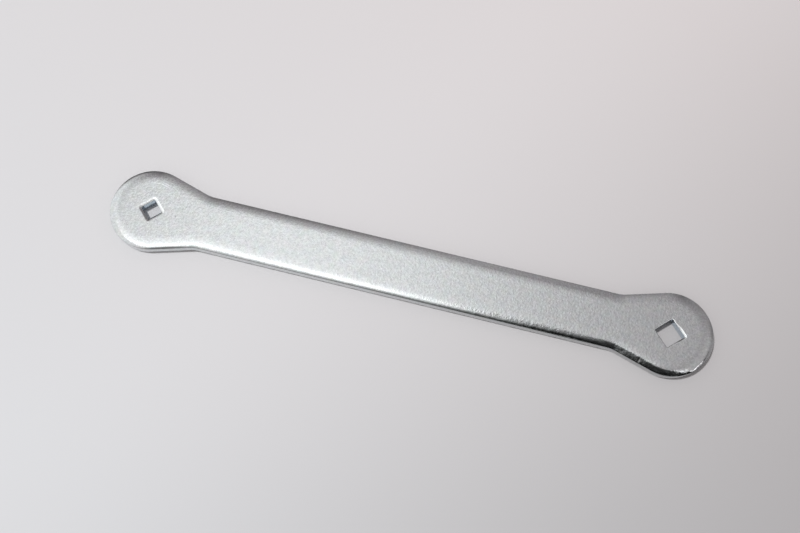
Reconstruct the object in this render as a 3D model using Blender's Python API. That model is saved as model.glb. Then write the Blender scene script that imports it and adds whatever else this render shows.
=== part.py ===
"""Valve adjusting wrench: one stamped steel plate with a square socket in each round end.

Units are metres and +Z is up. The plate lies flat on z = 0, with its bar along X, the small socket
at the -X end and the large socket at the +X end. It is blanked from one sheet, so its top edges
are rolled over by the punch and its lower edges keep only a small break.
"""
import math

import bmesh
import bpy

# Plate
CENTRE_DISTANCE = 0.100         # from one socket's centre to the other's
HEAD_DIAMETER = 0.016           # the round ends
BAR_WIDTH = 0.0107              # the straight bar between them
NECK_RADIUS = 0.0055            # the hollow curve from the bar into a flank
FLANK_ANGLE = math.radians(16.6)  # of the straight flanks, which run on to the round ends
THICKNESS = 0.0025              # the sheet

# Outer edge, as the blanking die leaves it
ROLL_WIDTH = 0.0028             # how far the rolled edge runs in over the top face
ROLL_SLOPE = math.radians(26)   # its fall where it meets the upper edge of the wall
EDGE_RADIUS = 0.0002            # the upper edge of the wall
LOWER_EDGE_BREAK = 0.00015      # the dulled edge round the underside

# Square sockets
SMALL_DRIVE = 0.003             # across the flats of the small adjuster stem
LARGE_DRIVE = 0.004             # across the flats of the large adjuster stem
DRIVE_PLAY = 0.0001             # added across the flats, so that the stem slides in
SOCKET_TURN = math.radians(45)  # of a socket's flats from the bar
SOCKET_CORNER_RADIUS = 0.00015  # in the corners between a socket's flats
LIP_WIDTH = 0.0005              # the rolled lip round a socket, over the top face
LIP_SLOPE = math.radians(40)    # its fall where it meets the upper edge of the socket's wall
LIP_EDGE_RADIUS = 0.00008       # the upper edge of a socket's wall
SOCKET_EDGE_BREAK = 0.0001      # the dulled edge round a socket on the underside

# Fineness of the curves
HEAD_STEPS = 48
NECK_STEPS = 10
EDGE_STEPS = 3
ROLL_STEPS = 6
CORNER_STEPS = 3
SMOOTH_ANGLE = math.radians(40)

# Bright zinc plate
ZINC_COLOUR = (0.70, 0.71, 0.73, 1.0)
ZINC_ROUGHNESS = 0.34

# Shape of a rolled edge: the fall from the top face grows with this power of the distance
ROLL_POWER = 3
LIP_POWER = 2


def clear_scene():
    """Start from an empty scene."""
    for item in list(bpy.data.objects):
        bpy.data.objects.remove(item, do_unlink=True)


def arc(centre, radius, start, end, steps):
    """Points along an arc, both ends included."""
    points = []
    for step in range(steps + 1):
        angle = start + (end - start) * step / steps
        points.append((centre[0] + radius * math.cos(angle), centre[1] + radius * math.sin(angle)))
    return points


def plate_outline(retreat):
    """The plate's outline, drawn in by retreat, counter-clockwise from above.

    Each flank touches a neck curve and a round end, so the arcs keep their centres and their angles
    at every retreat, and only their radii change.
    """
    head_radius = HEAD_DIAMETER / 2
    head_x = CENTRE_DISTANCE / 2
    neck_y = BAR_WIDTH / 2 + NECK_RADIUS
    flank_room = NECK_RADIUS + head_radius - neck_y * math.cos(FLANK_ANGLE)
    neck_x = head_x - flank_room / math.sin(FLANK_ANGLE)
    quarter = math.pi / 2
    touch = quarter + FLANK_ANGLE

    lower_neck = arc((neck_x, -neck_y), NECK_RADIUS + retreat, quarter, quarter - FLANK_ANGLE, NECK_STEPS)
    head = arc((head_x, 0.0), head_radius - retreat, -touch, touch, HEAD_STEPS)
    upper_neck = arc((neck_x, neck_y), NECK_RADIUS + retreat, FLANK_ANGLE - quarter, -quarter, NECK_STEPS)
    right_end = lower_neck + head + upper_neck
    left_end = [(-x, -y) for x, y in right_end]
    return right_end + left_end


def socket_outline(drive, centre_x, retreat):
    """A socket's round-cornered square, opened by retreat, counter-clockwise from above."""
    half = (drive + DRIVE_PLAY) / 2
    corner_reach = (half - SOCKET_CORNER_RADIUS) * math.sqrt(2)
    points = []
    for corner in range(4):
        middle = SOCKET_TURN + math.pi / 4 + corner * math.pi / 2
        centre = (centre_x + corner_reach * math.cos(middle), corner_reach * math.sin(middle))
        points += arc(centre, SOCKET_CORNER_RADIUS + retreat, middle - math.pi / 4, middle + math.pi / 4,
                      CORNER_STEPS)
    return points


def stamped_edge(edge_break, edge_radius, roll_width, slope, power):
    """(retreat into the metal, height) pairs up a stamped edge, from the underside to the top.

    A plain wall ends in a small round edge, which leads into the roll at the roll's own slope.
    """
    roll_start = edge_radius * (1 - math.sin(slope))
    roll_run = roll_width - roll_start
    roll_depth = math.tan(slope) * roll_run / power
    edge_height = THICKNESS - roll_depth - edge_radius * math.cos(slope)

    profile = [(edge_break, 0.0), (0.0, edge_break)]
    for step in range(EDGE_STEPS):
        tilt = math.pi / 2 + (slope - math.pi / 2) * step / EDGE_STEPS
        profile.append((edge_radius * (1 - math.sin(tilt)), edge_height + edge_radius * math.cos(tilt)))
    for step in range(ROLL_STEPS + 1):
        share = step / ROLL_STEPS
        profile.append((roll_start + roll_run * share, THICKNESS - roll_depth * (1 - share) ** power))
    return profile


def loft(mesh_data, rings):
    """Join closed rings of equal length, and return the edges of the first and the last ring."""
    loops = []
    for ring in rings:
        loops.append([mesh_data.verts.new(point) for point in ring])
    for lower, upper in zip(loops, loops[1:]):
        for index in range(len(lower)):
            after = (index + 1) % len(lower)
            mesh_data.faces.new((lower[index], lower[after], upper[after], upper[index]))
    return ring_edges(mesh_data, loops[0]), ring_edges(mesh_data, loops[-1])


def ring_edges(mesh_data, loop):
    """The edges round one closed ring of vertices."""
    return [mesh_data.edges.get((loop[index - 1], loop[index])) for index in range(len(loop))]


def rings_along(outline, profile):
    """Rings of 3-D points: the outline at each step of a profile."""
    rings = []
    for retreat, height in profile:
        rings.append([(x, y, height) for x, y in outline(retreat)])
    return rings


def zinc_material():
    """Bright zinc plate on steel."""
    material = bpy.data.materials.new("zinc_plated_steel")
    material.use_nodes = True
    shader = material.node_tree.nodes["Principled BSDF"]
    shader.inputs["Base Color"].default_value = ZINC_COLOUR
    shader.inputs["Metallic"].default_value = 1.0
    shader.inputs["Roughness"].default_value = ZINC_ROUGHNESS
    return material


def wrench_plate():
    """The whole tool: outer edge, two socket walls, and the two faces between them."""
    plate_edge = stamped_edge(LOWER_EDGE_BREAK, EDGE_RADIUS, ROLL_WIDTH, ROLL_SLOPE, ROLL_POWER)
    socket_edge = stamped_edge(SOCKET_EDGE_BREAK, LIP_EDGE_RADIUS, LIP_WIDTH, LIP_SLOPE, LIP_POWER)

    mesh_data = bmesh.new()
    underside, top = loft(mesh_data, rings_along(plate_outline, plate_edge))
    for drive, side in ((SMALL_DRIVE, -1), (LARGE_DRIVE, 1)):
        centre_x = side * CENTRE_DISTANCE / 2
        rings = rings_along(lambda retreat: socket_outline(drive, centre_x, retreat), socket_edge)
        socket_underside, socket_top = loft(mesh_data, rings)
        underside += socket_underside
        top += socket_top
    for edges in (underside, top):
        bmesh.ops.triangle_fill(mesh_data, use_beauty=True, use_dissolve=False, edges=edges)
    bmesh.ops.recalc_face_normals(mesh_data, faces=mesh_data.faces)

    mesh = bpy.data.meshes.new("wrench_plate")
    mesh_data.to_mesh(mesh)
    mesh_data.free()
    mesh.shade_smooth()
    mesh.set_sharp_from_angle(angle=SMOOTH_ANGLE)
    mesh.materials.append(zinc_material())
    plate = bpy.data.objects.new("wrench_plate", mesh)
    bpy.context.scene.collection.objects.link(plate)
    return plate


clear_scene()
wrench_plate()
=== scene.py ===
"""Looks of the valve adjusting wrench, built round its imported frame.

Units are metres and +Z is up. The plate of the frame is replaced by a finer mesh with the marks of
the die on its walls, under a procedural bright zinc finish.
"""
import math

import bmesh
import bpy
from mathutils import Matrix, Vector, noise
from mathutils.geometry import delaunay_2d_cdt


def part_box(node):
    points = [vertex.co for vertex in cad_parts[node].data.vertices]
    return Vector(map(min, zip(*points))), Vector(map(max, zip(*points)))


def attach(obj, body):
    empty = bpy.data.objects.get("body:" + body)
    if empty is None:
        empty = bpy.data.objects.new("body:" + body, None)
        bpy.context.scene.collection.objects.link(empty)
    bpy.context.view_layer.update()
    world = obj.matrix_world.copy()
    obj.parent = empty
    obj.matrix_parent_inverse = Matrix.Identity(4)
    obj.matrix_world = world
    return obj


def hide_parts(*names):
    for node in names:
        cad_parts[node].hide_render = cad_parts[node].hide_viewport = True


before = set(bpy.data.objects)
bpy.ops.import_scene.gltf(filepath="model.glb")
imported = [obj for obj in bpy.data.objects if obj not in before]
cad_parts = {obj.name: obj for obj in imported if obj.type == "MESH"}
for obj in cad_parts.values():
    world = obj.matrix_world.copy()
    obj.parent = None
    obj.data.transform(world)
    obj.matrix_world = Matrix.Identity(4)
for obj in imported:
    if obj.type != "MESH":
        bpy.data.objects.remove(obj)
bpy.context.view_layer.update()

# Plate: what the frame's box doesn't give
BAR_WIDTH = 0.0107
NECK_RADIUS = 0.0055            # the hollow curve from the bar into a flank
FLANK_ANGLE = math.radians(16.6)  # of the straight flanks, which run on to the round ends

# Rolled upper edge, as the die leaves it
ROLL_WIDTH = 0.0028             # over the top face
ROLL_SLOPE = math.radians(26)   # where the roll meets the round edge of the wall
ROLL_POWER = 3                  # the fall grows with this power of the distance from the flat
EDGE_RADIUS = 0.0002

# Wall below the roll: a smooth sheared upper part, and a torn lower part that leans in
TORN_HEIGHT = 0.0009
TORN_LEAN = 0.00008
TORN_ROUGHNESS = 0.00002
TORN_GRAIN = 0.0004
TORN_TOP = 0.4                  # share of the tearing at its top
LOWER_BREAK = 0.0001

# Square sockets
SMALL_OPENING = 0.0029          # across the flats
LARGE_OPENING = 0.0040
SMALL_DRIFT = Vector((0.0, -0.00006))        # how far the small socket is pierced from its place
LARGE_DRIFT = Vector((-0.00018, 0.00006))    # and the large one
SOCKET_TURN = math.radians(45)
SOCKET_CORNER_RADIUS = 0.00015
LIP_WIDTH = 0.0006
LIP_SLOPE = math.radians(40)
LIP_POWER = 2
LIP_EDGE_RADIUS = 0.00008
SOCKET_TORN_LEAN = 0.00005
LARGE_LIP = 0.25                # share of the lip that is left on the large socket
LARGE_LIP_CORNER = 0.72         # and at its right corner
LARGE_LIP_START = 0.35          # where it starts to widen, as a share of the way to that corner
LARGE_LIP_FULL = 0.75           # and where it is widest

# Flats worn into the roll: far edge (1) or near edge (-1), start and end along the bar, width, slope
FACETS = (
    (1, 0.008, 0.038, 0.00128, math.radians(15.5)),
    (-1, 0.038, 0.0525, 0.0011, math.radians(18.5)),
)
FACET_FADE = 0.004              # over which a flat starts and ends
FACET_RAGGED = 0.00003          # how far its inner side wanders
FACET_RAGGED_SIZE = 0.0009
EDGE_FACING = 0.5               # how squarely an edge has to face far or near to be worn

# Fine dents in the roll along the near edge, towards the large end
DENT_START = 0.000
DENT_FULL = 0.030
DENT_HEIGHT = 0.000014
DENT_SIZE = 0.0007

# Nicks in the near edge: place, direction in degrees, half length, half width, depth
NICKS = (
    (0.0452, -0.0063, -16.6, 0.00015, 0.00060, 0.000025),
    (-0.0455, -0.00693, 16.6, 0.00280, 0.00012, 0.00008),
)
NICK_END = 8                    # squared distance, in half sizes, beyond which a nick is left out

# Fineness of the mesh
EDGE_SPACING = 0.00016
SOCKET_SPACING = 0.00011
CORNER_SPACING = SOCKET_SPACING / 3
FACE_SPACING = 0.0009
ARC_STEPS = 6
ROLL_STEPS = 24
TORN_STEPS = 4
SMOOTH_ANGLE = math.radians(35)
MERGE_DISTANCE = 1e-9

# Camera: an orbit round a point on the floor
VIEW_TARGET = Vector((-0.0016015, 0.001175, 0.0))
VIEW_DISTANCE = 0.22698
VIEW_AZIMUTH = math.radians(14.146)
VIEW_ELEVATION = math.radians(71.935)
VIEW_ROLL = math.radians(0.023)
SENSOR_WIDTH = 36.0
LENS = 54.0
CLIP_START = 0.005

# Floor: pale paper, with a painted warm cast that grows one way and a painted shade that makes it a
# little darker another
FLOOR_SIZE = 3.0
FLOOR_GAP = 0.00003             # below the plate
PAPER_COOL = (0.623, 0.631, 0.645)
PAPER_WARM = (0.603, 0.571, 0.573)
PAPER_TURN = (0.48, 0.875, 0.0)  # direction in which the painted warm cast grows
PAPER_TURN_START = -0.070
PAPER_TURN_END = 0.080
PAPER_FALL = (0.825, -0.565, 0.0)  # direction in which the painted shade darkens it
PAPER_FALL_START = -0.030
PAPER_FALL_END = 0.100
PAPER_FALL_DEPTH = 0.40
PAPER_ROUGHNESS = 0.9
PAPER_SPECULAR = 0.1

# Lamp: high on the left, for the paper and the shadows on it
LAMP_DIRECTION = Vector((-0.283, -0.030, 0.958))
LAMP_LIGHT = 2.2
LAMP_WIDTH = math.radians(5)

# Room: how bright it is by direction, where 1 is white. A pair is where a change starts and ends
CEILING_LEFT = 1.25
CEILING_RIGHT = 0.41
CEILING_TURN = (0.225, -0.18)
RIGHT_WALL = 0.09               # added on the right
RIGHT_WALL_EDGE = (0.22, 0.38)
RIGHT_FOOT = 0.17               # and lost again near the horizon
RIGHT_FOOT_EDGE = (0.60, 0.75)
BACK_STEP = 0.20                # lost at the back edge of the ceiling
BACK_STEP_EDGE = (0.32, 0.42)
BACK_FADE_LEFT = 0.57           # lost besides from there to the horizon
BACK_FADE_RIGHT = 0.30
BACK_FADE_EDGE = (0.33, 0.9)
BACK_BEND_START = 0.3           # how far left the back edge starts to bend
BACK_BEND = 0.4                 # and how much
SHADE_TINT = (1.07, 1.0, 1.025)  # of the darker parts
SHADE_EDGE = (0.85, 0.3)
WINDOW_LIGHT = 1.7
BELOW_LEFT = 1.00               # below the window, on the left
BELOW_FRONT = 0.58              # and in front
BELOW_TURN = (0.0, -0.6)
WINDOW_LEFT_EDGE = (0.08, -0.06)    # the window takes in the left
WINDOW_FRONT_EDGE = (-0.10, -0.25)  # and the front
WINDOW_RIGHT_END = (0.52, 0.40)     # as far right as this
WINDOW_BACK_END = (0.10, -0.26)     # and as far back as this
WINDOW_FOOT = (0.86, 0.95)          # from this height up
WINDOW_FOOT_LEFT = -0.15            # its foot leans by this on the left
WINDOW_FOOT_RIGHT = 0.6             # and on the right
SOFT_LIGHT = 0.50               # of the whole room, where it isn't reflected
GLINT = Vector((0.67, -0.205, 0.713))   # a thin bright patch on the right
GLINT_LIGHT = 2.0
GLINT_HALF_HEIGHT = 0.045
GLINT_HALF_WIDTH = 0.22
GAP = Vector((0.757, 0.05, 0.65))      # and a small dark one beside it
GAP_LIGHT = 0.05
GAP_HALF_HEIGHT = 0.045
GAP_HALF_WIDTH = 0.14
PATCH_EDGE = (1.0, 0.2)         # of both, as a squared share of their half sizes

# Darker parts of the room: what is lost there, and where it starts and is in full, by axis
DARK_PARTS = (
    (0.36, (("X", -0.22, -0.32), ("X", -0.60, -0.45), ("Y", 0.10, 0.29))),  # at the back on the left
    (0.25, (("X", -0.05, -0.20), ("X", -0.50, -0.36), ("Y", 0.36, 0.55))),  # lower down there
    (0.75, (("X", -0.30, -0.50), ("Z", 0.50, 0.28), ("Y", 0.30, 0.60))),   # near the horizon beyond
    (0.17, (("X", -0.47, -0.65),)),                                       # at the far left
)

# Smoked screen in front of the large end, which only the metal shows
CARD_Y = -0.050
CARD_RIGHT = 0.128              # its right side, far up
CARD_CORNER = 0.300             # and its right side low down, where across and up add to this
CARD_CORNER_LEAN = 1.33         # with so much of the height
CARD_LOW = 0.046
CARD_HIGH = 1.200
CARD_SOFT_FOOT = 0.018          # over which its foot fades in
CARD_SOFT_RIGHT = 0.028         # over which its right side fades
CARD_SIDE = 0.027               # its left side, far up
CARD_LEAN = 0.0023              # the left side leans out by this over the height
CARD_SOFT_SIDE = 0.036          # the left side fades this far either way
CARD_THINNING = 0.417           # it lets light through from about this height up

# Zinc
ZINC_COLOUR = (0.65, 0.672, 0.678)
FACE_ROUGHNESS = 0.17
EDGE_ROUGHNESS = 0.08           # the rolled edges, burnished by the die
EDGE_GLOSS = (0.998, 0.965)     # how level the surface is where the gloss changes
EDGE_SMOOTH = (0.975, 0.945)    # and where the grain does
EDGE_SHADE_LEFT = 0.60          # how much painted shade darkens the near upper edge, in place of the dark reflection along it
EDGE_SHADE_RIGHT = 0.95
EDGE_SHADE_TURN = (-0.020, 0.020)   # between the two, along the bar
EDGE_SHADE_START = (-0.054, -0.048)  # where the dark line starts, along the bar
EDGE_SHADE_TOP = (0.90, 0.84)       # how level the surface is at its upper side
EDGE_SHADE_FOOT = (0.50, 0.60)      # and at its lower side
EDGE_SHADE_NEAR = (-0.15, -0.35)    # how far it has to face the near side
WALL_SHADE = 0.26               # how much painted shade darkens the wall towards the large end
WALL_SHADE_TURN = (-0.020, 0.030)   # along the bar
WALL_TILT = (0.3, 0.1)              # how level a wall is at most
RECESS_REFLECTION_TINT = (0.83, 0.93, 1.02)  # a painted bluish reflection and shade on the sockets' walls
RECESS_SHADE = 0.45             # how much painted shade darkens the left walls of the large socket
RECESS_LEFT = (0.3, 0.6)            # how far such a wall faces right
LIP_ROUGHNESS = 0.35            # rougher on the sockets' lips
LIP_HIGHLIGHT = 0.42                 # how much a painted highlight brightens them
LIP_REACH = 0.0040              # from a socket's centre
LIP_REACH_SOFT = 0.0003
LIP_TOP = (0.999, 0.985)            # how level the lip is at its upper side
LIP_FOOT = (0.3, 0.6)               # and at its lower side
GRAIN_SIZE = 0.00038
GRAIN_DETAIL = 2.0
GRAIN_HEIGHT = 0.000025
EDGE_GRAIN_HEIGHT = 0.000012    # on the rolled edges
MOTTLE = 0.6                    # how far the grain changes the colour
TINT_SIZE = 0.0015
TINT_DETAIL = 1.0
TINT = 0.06                     # how far broader patches of the plating change it
SPECK_SIZE = 0.00030
SPECK_DETAIL = 0.0
SPECK_EDGE = (0.68, 0.78)
SPECK = 0.10                    # how much brighter the sparse specks are
SCUFF = 0.35                    # how much brighter the scuffs round the small socket are
SCUFF_HALF_WIDTH = 0.00010
SCUFF_FADE = 0.6                # where a scuff starts to fade, as a share of its half length
SCUFFS = (                      # radius, then direction and spread in degrees
    (0.0053, 90, 24),
    (0.0061, 108, 8),
    (0.0057, 76, 8),
)
PIT = (-0.0451, -0.0004, 0.0025)  # a small dark pit in the top face
PIT_RADIUS = 0.00022
PIT_FLOOR = PIT_RADIUS / 3
PIT_SHADE = 0.35
TEXTURE_ROUGHNESS = 0.6         # how strongly the finer steps of a texture show

plate_low, plate_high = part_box("wrench_plate")
THICKNESS = plate_high.z - plate_low.z
HEAD_RADIUS = (plate_high.y - plate_low.y) / 2
HEAD_X = plate_high.x - HEAD_RADIUS


# Paths and profiles

def arc_path(centre, radius, start, end, spacing, hollow=False):
    """Points along an arc with their directions out of the metal, without the last point."""
    steps = max(3, math.ceil(abs(end - start) * radius / spacing))
    path = []
    for step in range(steps):
        angle = start + (end - start) * step / steps
        direction = Vector((math.cos(angle), math.sin(angle)))
        path.append((centre + radius * direction, -direction if hollow else direction))
    return path


def line_path(start, end, outward, spacing):
    """Points along a line with their direction out of the metal, without the last point."""
    steps = max(1, math.ceil((end - start).length / spacing))
    return [(start.lerp(end, step / steps), outward) for step in range(steps)]


def plate_path():
    """The plate's outline, counter-clockwise from above."""
    half_bar = BAR_WIDTH / 2
    neck_y = half_bar + NECK_RADIUS
    flank_room = NECK_RADIUS + HEAD_RADIUS - neck_y * math.cos(FLANK_ANGLE)
    neck_x = HEAD_X - flank_room / math.sin(FLANK_ANGLE)
    quarter = math.pi / 2
    touch = quarter + FLANK_ANGLE
    flank_out = Vector((math.cos(touch), math.sin(touch)))
    flank_start = Vector((HEAD_X, 0.0)) + HEAD_RADIUS * flank_out
    flank_end = Vector((neck_x, neck_y)) - NECK_RADIUS * flank_out
    neck = Vector((neck_x, neck_y))
    flip = Matrix(((1.0, 0.0), (0.0, -1.0)))
    far_side = Vector((0.0, 1.0))
    bar_middle = Vector((0.0, half_bar))
    bar_end = Vector((neck_x, half_bar))

    path = line_path(flip @ bar_middle, flip @ bar_end, flip @ far_side, EDGE_SPACING)
    path += arc_path(flip @ neck, NECK_RADIUS, quarter, quarter - FLANK_ANGLE, EDGE_SPACING, True)
    path += line_path(flip @ flank_end, flip @ flank_start, flip @ flank_out, EDGE_SPACING)
    path += arc_path(Vector((HEAD_X, 0.0)), HEAD_RADIUS, -touch, touch, EDGE_SPACING)
    path += line_path(flank_start, flank_end, flank_out, EDGE_SPACING)
    path += arc_path(neck, NECK_RADIUS, FLANK_ANGLE - quarter, -quarter, EDGE_SPACING, True)
    path += line_path(bar_end, bar_middle, far_side, EDGE_SPACING)
    return path + [(-point, -outward) for point, outward in path]


def socket_path(opening, centre):
    """A socket's round-cornered square, counter-clockwise from above."""
    half = opening / 2
    reach = half - SOCKET_CORNER_RADIUS
    path = []
    for corner in range(4):
        turn = Matrix.Rotation(SOCKET_TURN + corner * math.pi / 2, 2)
        middle = centre + turn @ Vector((reach, reach))
        start = SOCKET_TURN + corner * math.pi / 2
        end = start + math.pi / 2
        path += arc_path(middle, SOCKET_CORNER_RADIUS, start, end, CORNER_SPACING, True)
        flat_start = middle + turn @ Vector((0.0, SOCKET_CORNER_RADIUS))
        flat_end = centre + turn @ Vector((-reach, half))
        path += line_path(flat_start, flat_end, turn @ Vector((0.0, -1.0)), SOCKET_SPACING)
    return path


def stamped_profile(edge_radius, roll_width, slope, power, torn_lean):
    """(retreat into the metal, height, share of tearing) up a stamped edge, from below to the top."""
    roll_start = edge_radius * (1 - math.sin(slope))
    roll_run = roll_width - roll_start
    roll_depth = math.tan(slope) * roll_run / power
    edge_height = THICKNESS - roll_depth - edge_radius * math.cos(slope)

    profile = [(torn_lean + LOWER_BREAK, 0.0, 0.0)]
    for step in range(TORN_STEPS + 1):
        share = step / TORN_STEPS
        height = LOWER_BREAK + (TORN_HEIGHT - LOWER_BREAK) * share
        profile.append((torn_lean * (1 - share), height, 1.0 if step < TORN_STEPS else TORN_TOP))
    for step in range(ARC_STEPS):
        tilt = math.pi / 2 + (slope - math.pi / 2) * step / ARC_STEPS
        retreat = edge_radius * (1 - math.sin(tilt))
        profile.append((retreat, edge_height + edge_radius * math.cos(tilt), 0.0))
    for step in range(ROLL_STEPS + 1):
        share = step / ROLL_STEPS
        height = THICKNESS - roll_depth * (1 - share) ** power
        profile.append((roll_start + roll_run * share, height, 0.0))
    return profile


# Plate

def stamped_rings(path, profile):
    """Rings of 3-D points: the path at each step of a profile, with the torn part of the wall uneven."""
    rings = []
    for retreat, height, tearing in profile:
        ring = []
        for point, outward in path:
            place = Vector((point.x, point.y, height))
            tear = tearing * TORN_ROUGHNESS * noise.noise(place / TORN_GRAIN)
            inset = point - outward * (retreat + tear)
            ring.append(Vector((inset.x, inset.y, height)))
        rings.append(ring)
    return rings


def thin_lip(centre, profile, rings):
    """Draw the large socket's lip in, and less so round its right corner."""
    reach = LARGE_OPENING / math.sqrt(2)
    for (_, height, _), ring in zip(profile, rings):
        if height <= TORN_HEIGHT:
            continue
        for place in ring:
            share = smooth_step((place.x - centre.x) / reach, LARGE_LIP_START, LARGE_LIP_FULL)
            share = LARGE_LIP + (LARGE_LIP_CORNER - LARGE_LIP) * share
            offset = place.xy - centre
            sides = Matrix.Rotation(-SOCKET_TURN, 2) @ offset
            opened = max(abs(sides.x), abs(sides.y)) - LARGE_OPENING / 2
            if opened > 0:
                scale = (LARGE_OPENING / 2 + opened * share) / (LARGE_OPENING / 2 + opened)
                place.xy = centre + offset * scale
            place.z = THICKNESS - (THICKNESS - place.z) * share


def roll_fall(retreat):
    """How far the rolled edge lies below the top face."""
    share = min(1.0, max(0.0, retreat / ROLL_WIDTH))
    return math.tan(ROLL_SLOPE) * ROLL_WIDTH / ROLL_POWER * (1 - share) ** ROLL_POWER


def smooth_step(value, low, high):
    """0 below low, 1 above high."""
    share = min(1.0, max(0.0, (value - low) / (high - low)))
    return share * share * (3 - 2 * share)


def facet_fall(point, outward, retreat):
    """How far the worn flats cut below the roll."""
    ragged = FACET_RAGGED * noise.noise(Vector((point.x / FACET_RAGGED_SIZE, 0.0, 0.0)))
    cut = 0.0
    for side, start, end, width, slope in FACETS:
        if side * outward.y < EDGE_FACING:
            continue
        inner = width + ragged
        fall = (inner - retreat) * math.tan(slope) + roll_fall(inner) - roll_fall(retreat)
        weight = smooth_step(point.x, start - FACET_FADE, start + FACET_FADE)
        weight -= smooth_step(point.x, end - FACET_FADE, end + FACET_FADE)
        cut = max(cut, weight * fall)
    return cut


def nick_fall(place):
    """How far the nicks cut in at a place on the near edge."""
    fall = 0.0
    for x, y, turn, half_length, half_width, depth in NICKS:
        offset = Matrix.Rotation(-math.radians(turn), 2) @ Vector((place.x - x, place.y - y))
        reach = (offset.x / half_length) ** 2 + (offset.y / half_width) ** 2
        if reach < NICK_END:
            fall += depth * math.exp(-reach)
    return fall


def wear(path, profile, rings):
    """Lower the upper part of the outer edge where it is worn, dented or nicked."""
    for (retreat, height, _), ring in zip(profile, rings):
        if height <= TORN_HEIGHT or retreat >= ROLL_WIDTH:
            continue
        for (point, outward), place in zip(path, ring):
            place.z -= facet_fall(point, outward, retreat)
            if outward.y < -EDGE_FACING:
                share = smooth_step(point.x, DENT_START, DENT_FULL) * (1 - retreat / ROLL_WIDTH)
                place.z += share * DENT_HEIGHT * noise.noise(place / DENT_SIZE)
                place.z -= nick_fall(place)


def loft(mesh_data, rings):
    """Join closed rings of equal length, and return the first and the last loop of vertices."""
    loops = []
    for ring in rings:
        loops.append([mesh_data.verts.new(point) for point in ring])
    for lower, upper in zip(loops, loops[1:]):
        for index in range(len(lower)):
            after = (index + 1) % len(lower)
            mesh_data.faces.new((lower[index], lower[after], upper[after], upper[index]))
    return loops[0], loops[-1]


def inside(point, loop):
    """Whether a point lies inside a closed loop of vertices, seen from above."""
    crossings = 0
    for first, second in zip(loop, loop[1:] + loop[:1]):
        if (first.co.y > point.y) != (second.co.y > point.y):
            share = (point.y - first.co.y) / (second.co.y - first.co.y)
            crossings += point.x < first.co.x + share * (second.co.x - first.co.x)
    return crossings % 2 == 1


def nearest(point, loop):
    """Distance from a point to the nearest vertex of a loop, seen from above."""
    return min((vert.co.xy - point).length for vert in loop)


def grid_points(loops):
    """Evenly spread points on a flat face, clear of the loops round it and its openings."""
    rows = math.ceil(HEAD_RADIUS / FACE_SPACING)
    columns = math.ceil((HEAD_X + HEAD_RADIUS) / FACE_SPACING)
    points = []
    for row in range(-rows, rows + 1):
        for column in range(-columns, columns + 1):
            point = Vector(((column + row % 2 / 2) * FACE_SPACING, row * FACE_SPACING))
            if not inside(point, loops[0]) or any(inside(point, loop) for loop in loops[1:]):
                continue
            if min(nearest(point, loop) for loop in loops) > FACE_SPACING / 2:
                points.append(point)
    return points


def fill_flat(mesh_data, loops, height):
    """Fill a flat face between an outer loop and the loops of its openings with even triangles."""
    verts = []
    edges = []
    for loop in loops:
        first = len(verts)
        verts += loop
        edges += [(first + index, first + (index + 1) % len(loop)) for index in range(len(loop))]
    corners = [vert.co.xy for vert in verts]
    for point in grid_points(loops):
        corners.append(point)
        verts.append(mesh_data.verts.new((point.x, point.y, height)))
    places, _, triangles, sources, _, _ = delaunay_2d_cdt(corners, edges, [], 0, MERGE_DISTANCE)
    for triangle in triangles:
        middle = sum((places[index] for index in triangle), Vector((0.0, 0.0))) / 3
        if inside(middle, loops[0]) and not any(inside(middle, loop) for loop in loops[1:]):
            mesh_data.faces.new([verts[sources[index][0]] for index in triangle])


def wrench_plate():
    """The whole tool: outer edge, two socket walls, and the two faces between them."""
    small_centre = Vector((-HEAD_X, 0.0)) + SMALL_DRIFT
    large_centre = Vector((HEAD_X, 0.0)) + LARGE_DRIFT
    outline = plate_path()
    edge_profile = stamped_profile(EDGE_RADIUS, ROLL_WIDTH, ROLL_SLOPE, ROLL_POWER, TORN_LEAN)
    socket_profile = stamped_profile(LIP_EDGE_RADIUS, LIP_WIDTH, LIP_SLOPE, LIP_POWER, SOCKET_TORN_LEAN)
    edge_rings = stamped_rings(outline, edge_profile)
    wear(outline, edge_profile, edge_rings)
    small_rings = stamped_rings(socket_path(SMALL_OPENING, small_centre), socket_profile)
    large_rings = stamped_rings(socket_path(LARGE_OPENING, large_centre), socket_profile)
    thin_lip(large_centre, socket_profile, large_rings)

    mesh_data = bmesh.new()
    underside_loops = []
    top_loops = []
    for rings in (edge_rings, small_rings, large_rings):
        underside, top = loft(mesh_data, rings)
        underside_loops.append(underside)
        top_loops.append(top)
    fill_flat(mesh_data, underside_loops, 0.0)
    fill_flat(mesh_data, top_loops, THICKNESS)
    bmesh.ops.recalc_face_normals(mesh_data, faces=mesh_data.faces)

    mesh = bpy.data.meshes.new("stamped_plate")
    mesh_data.to_mesh(mesh)
    mesh_data.free()
    mesh.shade_smooth()
    mesh.set_sharp_from_angle(angle=SMOOTH_ANGLE)
    plate = bpy.data.objects.new("stamped_plate", mesh)
    bpy.context.scene.collection.objects.link(plate)
    return plate


# Node helpers

def add_node(tree, kind, **settings):
    """Add a node with some of its properties set."""
    node = tree.nodes.new(kind)
    for name, value in settings.items():
        setattr(node, name, value)
    return node


def feed(tree, socket, value):
    """Link an output to a socket, or set the socket to a constant."""
    if isinstance(value, bpy.types.NodeSocket):
        tree.links.new(value, socket)
    else:
        socket.default_value = value


def calculate(tree, operation, *values):
    """A Math node's result."""
    node = add_node(tree, "ShaderNodeMath", operation=operation)
    for socket, value in zip(node.inputs, values):
        feed(tree, socket, value)
    return node.outputs[0]


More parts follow.
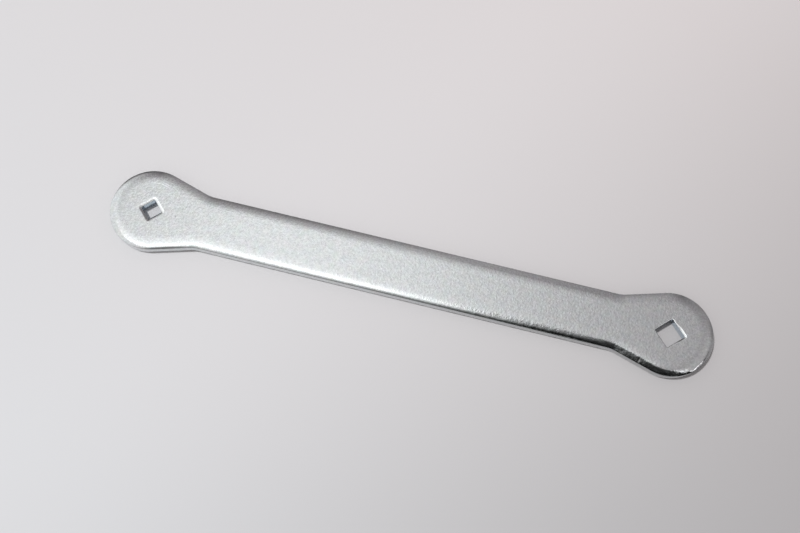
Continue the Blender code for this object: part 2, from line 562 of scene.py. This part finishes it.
def rise(tree, value, low, high, kind="SMOOTHSTEP"):
    """0 below low, 1 above high, and a smooth step between them. It falls where low is the higher."""
    node = add_node(tree, "ShaderNodeMapRange", interpolation_type=kind)
    flipped = low > high
    feed(tree, node.inputs["Value"], value)
    node.inputs["From Min"].default_value = min(low, high)
    node.inputs["From Max"].default_value = max(low, high)
    node.inputs["To Min"].default_value = 1.0 if flipped else 0.0
    node.inputs["To Max"].default_value = 0.0 if flipped else 1.0
    return node.outputs["Result"]


def mix(tree, first, second, share):
    """First where share is 0, second where it is 1."""
    node = add_node(tree, "ShaderNodeMix", data_type="FLOAT")
    feed(tree, node.inputs[0], share)
    feed(tree, node.inputs[2], first)
    feed(tree, node.inputs[3], second)
    return node.outputs[0]


def dim(tree, light, loss):
    """Light less a share of it."""
    return calculate(tree, "MULTIPLY", light, calculate(tree, "SUBTRACT", 1.0, loss))


# Materials, light and camera

def texture(tree, place, size, detail):
    """A noise texture at a given size."""
    node = add_node(tree, "ShaderNodeTexNoise", noise_dimensions="3D")
    tree.links.new(place, node.inputs["Vector"])
    node.inputs["Scale"].default_value = 1 / size
    node.inputs["Detail"].default_value = detail
    node.inputs["Roughness"].default_value = TEXTURE_ROUGHNESS
    return node


def distance(tree, place, centre):
    """How far a place is from a centre."""
    node = add_node(tree, "ShaderNodeVectorMath", operation="DISTANCE")
    tree.links.new(place, node.inputs[0])
    node.inputs[1].default_value = centre
    return node.outputs["Value"]


def scuff_arc(tree, place, reach, radius, direction, spread):
    """1 on a thin arc round the small socket."""
    away = calculate(tree, "ABSOLUTE", calculate(tree, "SUBTRACT", reach, radius))
    line = rise(tree, away, SCUFF_HALF_WIDTH, 0.0)
    toward = Vector((math.cos(math.radians(direction)), math.sin(math.radians(direction)), 0.0))
    middle = Vector((-HEAD_X, 0.0, THICKNESS)) + radius * toward
    half = radius * math.radians(spread)
    near = rise(tree, distance(tree, place, middle), half, half * SCUFF_FADE)
    return calculate(tree, "MULTIPLY", line, near)


def zinc_material():
    """Bright zinc plate on steel, with painted shade on its near upper edge and walls and a painted
    highlight on the sockets' lips.
    """
    material = bpy.data.materials.new("bright_zinc")
    material.use_nodes = True
    tree = material.node_tree
    shader = tree.nodes["Principled BSDF"]
    shader.inputs["Metallic"].default_value = 1.0
    coordinates = add_node(tree, "ShaderNodeTexCoord")
    place = coordinates.outputs["Object"]

    grain = texture(tree, place, GRAIN_SIZE, GRAIN_DETAIL).outputs["Fac"]
    bump = add_node(tree, "ShaderNodeBump")
    bump.inputs["Strength"].default_value = 1.0
    tree.links.new(grain, bump.inputs["Height"])
    tree.links.new(bump.outputs["Normal"], shader.inputs["Normal"])

    facing = add_node(tree, "ShaderNodeSeparateXYZ")
    tree.links.new(coordinates.outputs["Normal"], facing.inputs[0])
    flatness = calculate(tree, "ABSOLUTE", facing.outputs["Z"])
    rolled = rise(tree, flatness, *EDGE_SMOOTH)
    tree.links.new(mix(tree, GRAIN_HEIGHT, EDGE_GRAIN_HEIGHT, rolled), bump.inputs["Distance"])
    roughness = mix(tree, FACE_ROUGHNESS, EDGE_ROUGHNESS, rise(tree, flatness, *EDGE_GLOSS))
    small_reach = distance(tree, place, (-HEAD_X, 0.0, THICKNESS))
    large_reach = distance(tree, place, (HEAD_X, 0.0, THICKNESS))
    reach = calculate(tree, "MINIMUM", small_reach, large_reach)
    socket = rise(tree, reach, LIP_REACH, LIP_REACH - LIP_REACH_SOFT)
    lip = calculate(tree, "MULTIPLY", socket, rise(tree, flatness, *LIP_TOP))
    lip = calculate(tree, "MULTIPLY", lip, rise(tree, facing.outputs["Z"], *LIP_FOOT))
    across = add_node(tree, "ShaderNodeSeparateXYZ")
    tree.links.new(place, across.inputs[0])
    lip = calculate(tree, "MULTIPLY", lip, rise(tree, across.outputs["Y"], -LIP_WIDTH, 0.0))
    tree.links.new(mix(tree, roughness, LIP_ROUGHNESS, lip), shader.inputs["Roughness"])

    level = calculate(tree, "MULTIPLY_ADD", calculate(tree, "SUBTRACT", grain, 0.5), MOTTLE, 1.0)
    # Painted highlight on the sockets' lips, on their far sides only
    level = calculate(tree, "MULTIPLY_ADD", lip, LIP_HIGHLIGHT, level)
    specks = rise(tree, texture(tree, place, SPECK_SIZE, SPECK_DETAIL).outputs["Fac"], *SPECK_EDGE)
    level = calculate(tree, "MULTIPLY_ADD", specks, SPECK, level)
    for scuff in SCUFFS:
        bright = scuff_arc(tree, place, small_reach, *scuff)
        level = calculate(tree, "MULTIPLY_ADD", bright, SCUFF, level)
    pit = rise(tree, distance(tree, place, PIT), PIT_RADIUS, PIT_FLOOR)
    level = calculate(tree, "MULTIPLY_ADD", pit, -PIT_SHADE, level)
    # Painted shade: a dark line along the near upper edge, standing in for the dark reflection of the
    # room's low front
    edge = rise(tree, facing.outputs["Z"], *EDGE_SHADE_TOP)
    edge = calculate(tree, "MULTIPLY", edge, rise(tree, facing.outputs["Z"], *EDGE_SHADE_FOOT))
    edge = calculate(tree, "MULTIPLY", edge, rise(tree, facing.outputs["Y"], *EDGE_SHADE_NEAR))
    edge = calculate(tree, "MULTIPLY", edge, rise(tree, across.outputs["X"], *EDGE_SHADE_START))
    turn = rise(tree, across.outputs["X"], *EDGE_SHADE_TURN)
    shade = mix(tree, EDGE_SHADE_LEFT, EDGE_SHADE_RIGHT, turn)
    level = dim(tree, level, calculate(tree, "MULTIPLY", dim(tree, edge, socket), shade))
    wall = rise(tree, flatness, *WALL_TILT)
    # Painted shade on the wall towards the large end
    shaded_wall = calculate(tree, "MULTIPLY", wall, rise(tree, across.outputs["X"], *WALL_SHADE_TURN))
    level = dim(tree, level, calculate(tree, "MULTIPLY", dim(tree, shaded_wall, socket), WALL_SHADE))
    # Painted shade on the large socket's left walls
    recessed = calculate(tree, "MULTIPLY", shaded_wall, socket)
    recessed = calculate(tree, "MULTIPLY", recessed, rise(tree, facing.outputs["X"], *RECESS_LEFT))
    level = dim(tree, level, calculate(tree, "MULTIPLY", recessed, RECESS_SHADE))

    tint = add_node(tree, "ShaderNodeVectorMath", operation="MULTIPLY_ADD")
    tree.links.new(texture(tree, place, TINT_SIZE, TINT_DETAIL).outputs["Color"], tint.inputs[0])
    tint.inputs[1].default_value = (TINT, TINT, TINT)
    tint.inputs[2].default_value = [channel - TINT / 2 for channel in ZINC_COLOUR]
    colour = add_node(tree, "ShaderNodeVectorMath", operation="SCALE")
    tree.links.new(tint.outputs["Vector"], colour.inputs[0])
    tree.links.new(level, colour.inputs["Scale"])
    # Painted bluish reflection and shade on the sockets' walls
    reflection_tint = add_node(tree, "ShaderNodeMix", data_type="VECTOR")
    tree.links.new(calculate(tree, "MULTIPLY", socket, wall), reflection_tint.inputs[0])
    reflection_tint.inputs[4].default_value = (1.0, 1.0, 1.0)
    reflection_tint.inputs[5].default_value = RECESS_REFLECTION_TINT
    tinted = add_node(tree, "ShaderNodeVectorMath", operation="MULTIPLY")
    tree.links.new(colour.outputs["Vector"], tinted.inputs[0])
    tree.links.new(reflection_tint.outputs[1], tinted.inputs[1])
    tree.links.new(tinted.outputs["Vector"], shader.inputs["Base Color"])
    return material


def along(tree, place, direction):
    """How far a place lies along a direction."""
    node = add_node(tree, "ShaderNodeVectorMath", operation="DOT_PRODUCT")
    tree.links.new(place, node.inputs[0])
    node.inputs[1].default_value = direction
    return node.outputs["Value"]


def paper_material():
    """Pale paper, with a painted warm cast and a painted shade across it."""
    material = bpy.data.materials.new("pale_paper")
    material.use_nodes = True
    tree = material.node_tree
    shader = tree.nodes["Principled BSDF"]
    shader.inputs["Roughness"].default_value = PAPER_ROUGHNESS
    shader.inputs["Specular IOR Level"].default_value = PAPER_SPECULAR
    place = add_node(tree, "ShaderNodeTexCoord").outputs["Object"]
    # Painted warm cast of the light, growing along PAPER_TURN
    tint = add_node(tree, "ShaderNodeMix", data_type="VECTOR")
    warmth = rise(tree, along(tree, place, PAPER_TURN), PAPER_TURN_START, PAPER_TURN_END, "LINEAR")
    tree.links.new(warmth, tint.inputs[0])
    tint.inputs[4].default_value = PAPER_COOL
    tint.inputs[5].default_value = PAPER_WARM
    # Painted shade, darker along PAPER_FALL
    fall = rise(tree, along(tree, place, PAPER_FALL), PAPER_FALL_START, PAPER_FALL_END)
    colour = add_node(tree, "ShaderNodeVectorMath", operation="SCALE")
    tree.links.new(tint.outputs[1], colour.inputs[0])
    level = dim(tree, 1.0, calculate(tree, "MULTIPLY", fall, PAPER_FALL_DEPTH))
    tree.links.new(level, colour.inputs["Scale"])
    tree.links.new(colour.outputs["Vector"], shader.inputs["Base Color"])
    return material


def add_floor():
    """A flat sheet of paper under the tool."""
    bpy.ops.mesh.primitive_plane_add(size=FLOOR_SIZE, location=(0.0, 0.0, -FLOOR_GAP))
    floor = bpy.context.object
    floor.name = "floor"
    floor.data.materials.append(paper_material())


def screen_material():
    """Smoked film whose sides and foot fade out, and which thins upward."""
    material = bpy.data.materials.new("smoked_screen")
    material.use_nodes = True
    tree = material.node_tree
    axes = add_node(tree, "ShaderNodeSeparateXYZ")
    tree.links.new(add_node(tree, "ShaderNodeTexCoord").outputs["Object"], axes.inputs[0])
    lean = calculate(tree, "DIVIDE", CARD_LEAN, axes.outputs["Z"])
    across = calculate(tree, "ADD", axes.outputs["X"], lean)
    side = rise(tree, across, CARD_SIDE - CARD_SOFT_SIDE, CARD_SIDE + CARD_SOFT_SIDE)
    right = rise(tree, axes.outputs["X"], CARD_RIGHT, CARD_RIGHT - CARD_SOFT_RIGHT)
    corner = calculate(tree, "MULTIPLY_ADD", axes.outputs["Z"], CARD_CORNER_LEAN, axes.outputs["X"])
    low_right = rise(tree, corner, CARD_CORNER, CARD_CORNER - CARD_SOFT_RIGHT)
    right = calculate(tree, "MAXIMUM", right, low_right)
    side = calculate(tree, "MULTIPLY", side, right)
    foot = rise(tree, axes.outputs["Z"], CARD_LOW, CARD_LOW + CARD_SOFT_FOOT)
    thin = calculate(tree, "EXPONENT", calculate(tree, "DIVIDE", -CARD_THINNING, axes.outputs["Z"]))
    solid = dim(tree, calculate(tree, "MULTIPLY", side, foot), thin)
    film = add_node(tree, "ShaderNodeBsdfTransparent")
    tree.links.new(calculate(tree, "SUBTRACT", 1.0, solid), film.inputs["Color"])
    tree.links.new(film.outputs[0], tree.nodes["Material Output"].inputs["Surface"])
    tree.nodes.remove(tree.nodes["Principled BSDF"])
    return material


def add_card():
    """A smoked screen that stands in front of the large end, out of the picture."""
    left = CARD_SIDE - CARD_SOFT_SIDE - CARD_LEAN / CARD_LOW
    corners = [(left, CARD_Y, CARD_LOW), (CARD_CORNER, CARD_Y, CARD_LOW)]
    corners += [(CARD_CORNER, CARD_Y, CARD_HIGH), (left, CARD_Y, CARD_HIGH)]
    mesh = bpy.data.meshes.new("smoked_screen")
    mesh.from_pydata(corners, [], [(0, 1, 2, 3)])
    mesh.materials.append(screen_material())
    card = bpy.data.objects.new("smoked_screen", mesh)
    bpy.context.scene.collection.objects.link(card)
    card.visible_camera = False
    card.visible_diffuse = False
    card.visible_shadow = False


def patch(tree, direction, centre, half_height, half_width):
    """1 near a direction of the room, falling to 0 at half a height and half a width from it."""
    sideways = Vector((0.0, 0.0, 1.0)).cross(centre).normalized()
    upward = centre.cross(sideways).normalized()
    reach = 0.0
    for axis, half in ((upward, half_height), (sideways, half_width)):
        offset = calculate(tree, "SUBTRACT", along(tree, direction, axis), centre.dot(axis))
        offset = calculate(tree, "DIVIDE", offset, half)
        reach = calculate(tree, "MULTIPLY_ADD", offset, offset, reach)
    return rise(tree, reach, *PATCH_EDGE)


def add_world():
    """A room by direction: a bright window in front, and a back that fades to the horizon."""
    world = bpy.data.worlds.new("studio")
    world.use_nodes = True
    tree = world.node_tree
    axes = add_node(tree, "ShaderNodeSeparateXYZ")
    direction = add_node(tree, "ShaderNodeTexCoord").outputs["Generated"]
    tree.links.new(direction, axes.inputs[0])
    x, y, z = axes.outputs

    left = rise(tree, x, *CEILING_TURN)
    light = mix(tree, CEILING_RIGHT, CEILING_LEFT, left)
    light = calculate(tree, "MULTIPLY_ADD", rise(tree, x, *RIGHT_WALL_EDGE), RIGHT_WALL, light)
    light = calculate(tree, "MULTIPLY_ADD", rise(tree, x, *RIGHT_FOOT_EDGE), -RIGHT_FOOT, light)
    fade = mix(tree, BACK_FADE_RIGHT, BACK_FADE_LEFT, left)
    back = calculate(tree, "MINIMUM", calculate(tree, "ADD", x, BACK_BEND_START), 0.0)
    back = calculate(tree, "MULTIPLY_ADD", back, BACK_BEND, y)
    fade = calculate(tree, "MULTIPLY", fade, rise(tree, back, *BACK_FADE_EDGE, "LINEAR"))
    fade = calculate(tree, "MULTIPLY_ADD", rise(tree, back, *BACK_STEP_EDGE), BACK_STEP, fade)
    light = dim(tree, light, fade)
    for loss, ranges in DARK_PARTS:
        for axis, low, high in ranges:
            loss = calculate(tree, "MULTIPLY", loss, rise(tree, axes.outputs[axis], low, high))
        light = dim(tree, light, loss)
    shade = rise(tree, light, *SHADE_EDGE, "LINEAR")

    right_part = calculate(tree, "MAXIMUM", x, 0.0)
    left_part = calculate(tree, "MINIMUM", x, 0.0)
    width = rise(tree, x, *WINDOW_LEFT_EDGE)
    width = calculate(tree, "MAXIMUM", width, rise(tree, y, *WINDOW_FRONT_EDGE))
    width = calculate(tree, "MULTIPLY", width, rise(tree, x, *WINDOW_RIGHT_END))
    window = calculate(tree, "MULTIPLY", width, rise(tree, y, *WINDOW_BACK_END))
    foot = calculate(tree, "MULTIPLY_ADD", left_part, WINDOW_FOOT_LEFT, z)
    foot = calculate(tree, "MULTIPLY_ADD", right_part, WINDOW_FOOT_RIGHT, foot)
    below = mix(tree, BELOW_FRONT, BELOW_LEFT, rise(tree, x, *BELOW_TURN))
    below = mix(tree, below, WINDOW_LIGHT, rise(tree, foot, *WINDOW_FOOT))
    light = mix(tree, light, below, window)
    glint = patch(tree, direction, GLINT, GLINT_HALF_HEIGHT, GLINT_HALF_WIDTH)
    light = mix(tree, light, GLINT_LIGHT, glint)
    gap = patch(tree, direction, GAP, GAP_HALF_HEIGHT, GAP_HALF_WIDTH)
    light = mix(tree, light, GAP_LIGHT, gap)
    shade = dim(tree, shade, window)

    tint = add_node(tree, "ShaderNodeMix", data_type="VECTOR")
    tree.links.new(shade, tint.inputs[0])
    tint.inputs[4].default_value = (1.0, 1.0, 1.0)
    tint.inputs[5].default_value = SHADE_TINT
    ray = add_node(tree, "ShaderNodeLightPath")
    light = mix(tree, SOFT_LIGHT, light, ray.outputs["Is Glossy Ray"])
    background = tree.nodes["Background"]
    tree.links.new(tint.outputs[1], background.inputs["Color"])
    tree.links.new(light, background.inputs["Strength"])
    bpy.context.scene.world = world


def add_lamp():
    """A small soft lamp, which the metal doesn't show."""
    data = bpy.data.lights.new("lamp", "SUN")
    data.energy = LAMP_LIGHT
    data.angle = LAMP_WIDTH
    lamp = bpy.data.objects.new("lamp", data)
    lamp.rotation_euler = LAMP_DIRECTION.to_track_quat("Z", "Y").to_euler()
    lamp.visible_glossy = False
    bpy.context.scene.collection.objects.link(lamp)


def add_camera():
    """The photograph's view."""
    turn = Matrix.Rotation(VIEW_AZIMUTH, 3, "Z")
    turn = turn @ Matrix.Rotation(math.pi / 2 - VIEW_ELEVATION, 3, "X")
    turn = turn @ Matrix.Rotation(VIEW_ROLL, 3, "Z")
    data = bpy.data.cameras.new("camera")
    data.sensor_fit = "HORIZONTAL"
    data.sensor_width = SENSOR_WIDTH
    data.lens = LENS
    data.clip_start = CLIP_START
    camera = bpy.data.objects.new("camera", data)
    eye = VIEW_TARGET + turn @ Vector((0.0, 0.0, VIEW_DISTANCE))
    camera.matrix_world = Matrix.Translation(eye) @ turn.to_4x4()
    bpy.context.scene.collection.objects.link(camera)
    bpy.context.scene.camera = camera


plate = wrench_plate()
plate.data.materials.append(zinc_material())
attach(plate, "root")
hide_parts("wrench_plate")

add_floor()
add_card()
add_world()
add_lamp()
add_camera()
bpy.context.scene.view_settings.view_transform = "Standard"
